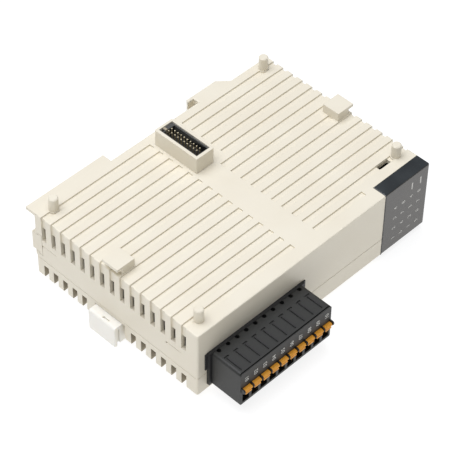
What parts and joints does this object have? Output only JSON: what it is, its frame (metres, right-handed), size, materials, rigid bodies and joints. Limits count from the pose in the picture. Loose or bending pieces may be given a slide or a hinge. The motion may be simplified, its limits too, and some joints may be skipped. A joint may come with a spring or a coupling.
{
  "type": "plc module",
  "caption": "Slim expansion module for a rail-mounted controller: vented casing, stacking bus plug and socket, rail hook and clip, and a pluggable spring terminal block.",
  "frame": {"origin": "middle of the bottom of the whole object, lying on its right side on its two coupling latches", "axes": "+X from the vented end to the indicator end, +Y from the front with its plug to the mounting rail, +Z along the rail towards the left face with the pegs and the bus plug"},
  "size_m": [0.0998, 0.0816, 0.032],
  "materials": {
    "ivory_plastic": "satin moulded casing",
    "smoked_window": "smoked polycarbonate, polished",
    "black_plastic": "moulded black",
    "anthracite_plastic": "glass-filled, fine grain",
    "orange_plastic": "moulded orange",
    "white_nylon": "natural nylon, slightly clear",
    "gold_contact": "gold flash on brass",
    "tinned_contact": "tinned copper alloy",
    "spring_steel": "stainless strip",
    "zinc_screw": "zinc plated",
    "circuit_board": "green solder mask",
    "grey_relay": "moulded relay case",
    "black_package": "moulded epoxy",
    "ferrite": "ground ferrite",
    "capacitor_sleeve": "shrink sleeve",
    "blue_disc": "dipped epoxy",
    "clear_led": "diffused lens"
  },
  "bodies": {
    "module": {"board_screws": "zinc_screw", "bus_controller_chip": "black_package", "bus_header": "black_plastic", "bus_header_pins": "gold_contact", "bus_socket": "black_plastic", "bus_socket_contacts": "gold_contact", "electrolytic_capacitors": "capacitor_sleeve", "indicator_leds": "clear_led", "indicator_window": "smoked_window", "input_optocouplers": "black_package", "led_board": "circuit_board", "led_board_pins": "gold_contact", "left_cover": "ivory_plastic", "light_guide": "black_plastic", "main_board": "circuit_board", "power_converter": "ferrite", "relay_1": "grey_relay", "relay_2": "grey_relay", "relay_3": "grey_relay", "relay_4": "grey_relay", "relay_driver_chip": "black_package", "right_shell": "ivory_plastic", "surge_suppressors": "blue_disc", "terminal_header": "black_plastic", "terminal_header_pins": "tinned_contact"},
    "rail_clip": {"rail_clip": "ivory_plastic"},
    "coupling_latch_near": {"coupling_latch_near": "white_nylon"},
    "coupling_latch_far": {"coupling_latch_far": "white_nylon"},
    "terminal_plug": {"plug_body": "anthracite_plastic", "plug_contacts": "tinned_contact", "plug_clamp_springs": "spring_steel"},
    "push_button_01": {"push_button_01": "orange_plastic"},
    "push_button_02": {"push_button_02": "orange_plastic"},
    "push_button_03": {"push_button_03": "orange_plastic"},
    "push_button_04": {"push_button_04": "orange_plastic"},
    "push_button_05": {"push_button_05": "orange_plastic"},
    "push_button_06": {"push_button_06": "orange_plastic"},
    "push_button_07": {"push_button_07": "orange_plastic"},
    "push_button_08": {"push_button_08": "orange_plastic"},
    "push_button_09": {"push_button_09": "orange_plastic"},
    "push_button_10": {"push_button_10": "orange_plastic"}
  },
  "joints": [
    {"name": "rail_clip_slide", "type": "slide", "parent": "module", "child": "rail_clip", "axis": [-1, 0, 0], "range_m": [0, 0.0035], "stiffness_N_per_m": 400},
    {"name": "near_latch_slide", "type": "slide", "parent": "module", "child": "coupling_latch_near", "axis": [-1, 0, 0], "range_m": [0, 0.0025], "stiffness_N_per_m": 500},
    {"name": "far_latch_slide", "type": "slide", "parent": "module", "child": "coupling_latch_far", "axis": [1, 0, 0], "range_m": [0, 0.0025], "stiffness_N_per_m": 500},
    {"name": "terminal_plug_slide", "type": "slide", "parent": "module", "child": "terminal_plug", "axis": [0, -1, 0], "range_m": [0, 0.009]},
    {"name": "push_button_01_press", "type": "slide", "parent": "terminal_plug", "child": "push_button_01", "axis": [0, 1, 0], "range_m": [0, 0.0012], "stiffness_N_per_m": 1500},
    {"name": "push_button_02_press", "type": "slide", "parent": "terminal_plug", "child": "push_button_02", "axis": [0, 1, 0], "range_m": [0, 0.0012], "stiffness_N_per_m": 1500},
    {"name": "push_button_03_press", "type": "slide", "parent": "terminal_plug", "child": "push_button_03", "axis": [0, 1, 0], "range_m": [0, 0.0012], "stiffness_N_per_m": 1500},
    {"name": "push_button_04_press", "type": "slide", "parent": "terminal_plug", "child": "push_button_04", "axis": [0, 1, 0], "range_m": [0, 0.0012], "stiffness_N_per_m": 1500},
    {"name": "push_button_05_press", "type": "slide", "parent": "terminal_plug", "child": "push_button_05", "axis": [0, 1, 0], "range_m": [0, 0.0012], "stiffness_N_per_m": 1500},
    {"name": "push_button_06_press", "type": "slide", "parent": "terminal_plug", "child": "push_button_06", "axis": [0, 1, 0], "range_m": [0, 0.0012], "stiffness_N_per_m": 1500},
    {"name": "push_button_07_press", "type": "slide", "parent": "terminal_plug", "child": "push_button_07", "axis": [0, 1, 0], "range_m": [0, 0.0012], "stiffness_N_per_m": 1500},
    {"name": "push_button_08_press", "type": "slide", "parent": "terminal_plug", "child": "push_button_08", "axis": [0, 1, 0], "range_m": [0, 0.0012], "stiffness_N_per_m": 1500},
    {"name": "push_button_09_press", "type": "slide", "parent": "terminal_plug", "child": "push_button_09", "axis": [0, 1, 0], "range_m": [0, 0.0012], "stiffness_N_per_m": 1500},
    {"name": "push_button_10_press", "type": "slide", "parent": "terminal_plug", "child": "push_button_10", "axis": [0, 1, 0], "range_m": [0, 0.0012], "stiffness_N_per_m": 1500}
  ]
}
